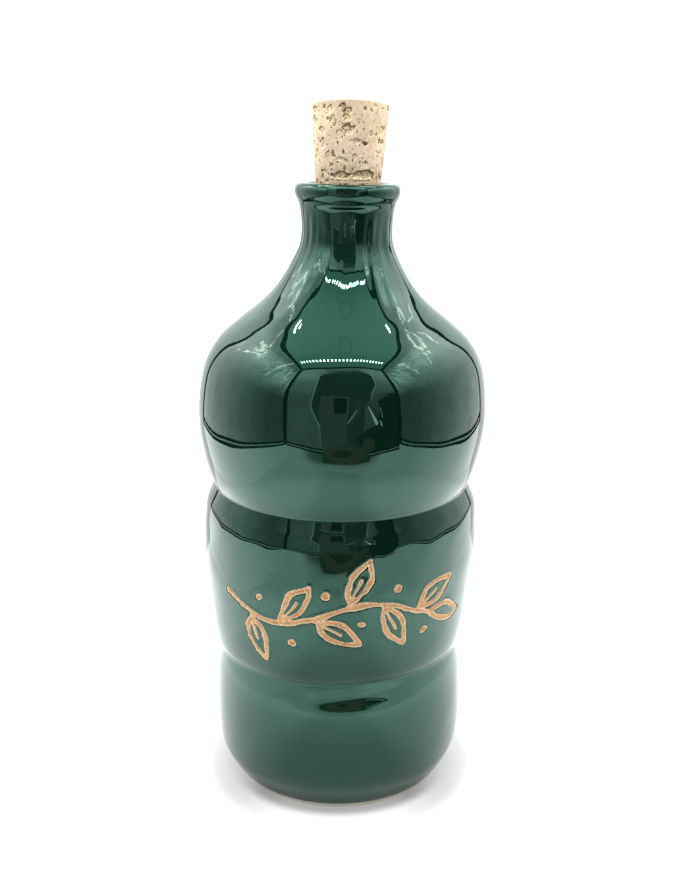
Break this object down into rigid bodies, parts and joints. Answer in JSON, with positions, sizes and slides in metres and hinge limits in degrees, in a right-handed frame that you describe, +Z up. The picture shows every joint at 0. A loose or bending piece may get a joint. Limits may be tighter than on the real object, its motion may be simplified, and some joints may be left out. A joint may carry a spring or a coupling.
{
  "type": "ceramic bottle",
  "caption": "Green glazed stoneware bottle with two turned grooves, a narrow neck with a rolled lip, and a tapered cork.",
  "frame": {"origin": "centre of the foot, on the surface that the bottle stands on", "axes": "+Z up along the bottle's axis, -Y towards the side that the picture shows"},
  "size_m": [0.105, 0.105, 0.2512],
  "materials": {
    "green_glaze": "gloss",
    "cork": "matte"
  },
  "bodies": {
    "root": {"bottle": "green_glaze", "cork": "cork"}
  },
  "joints": []
}
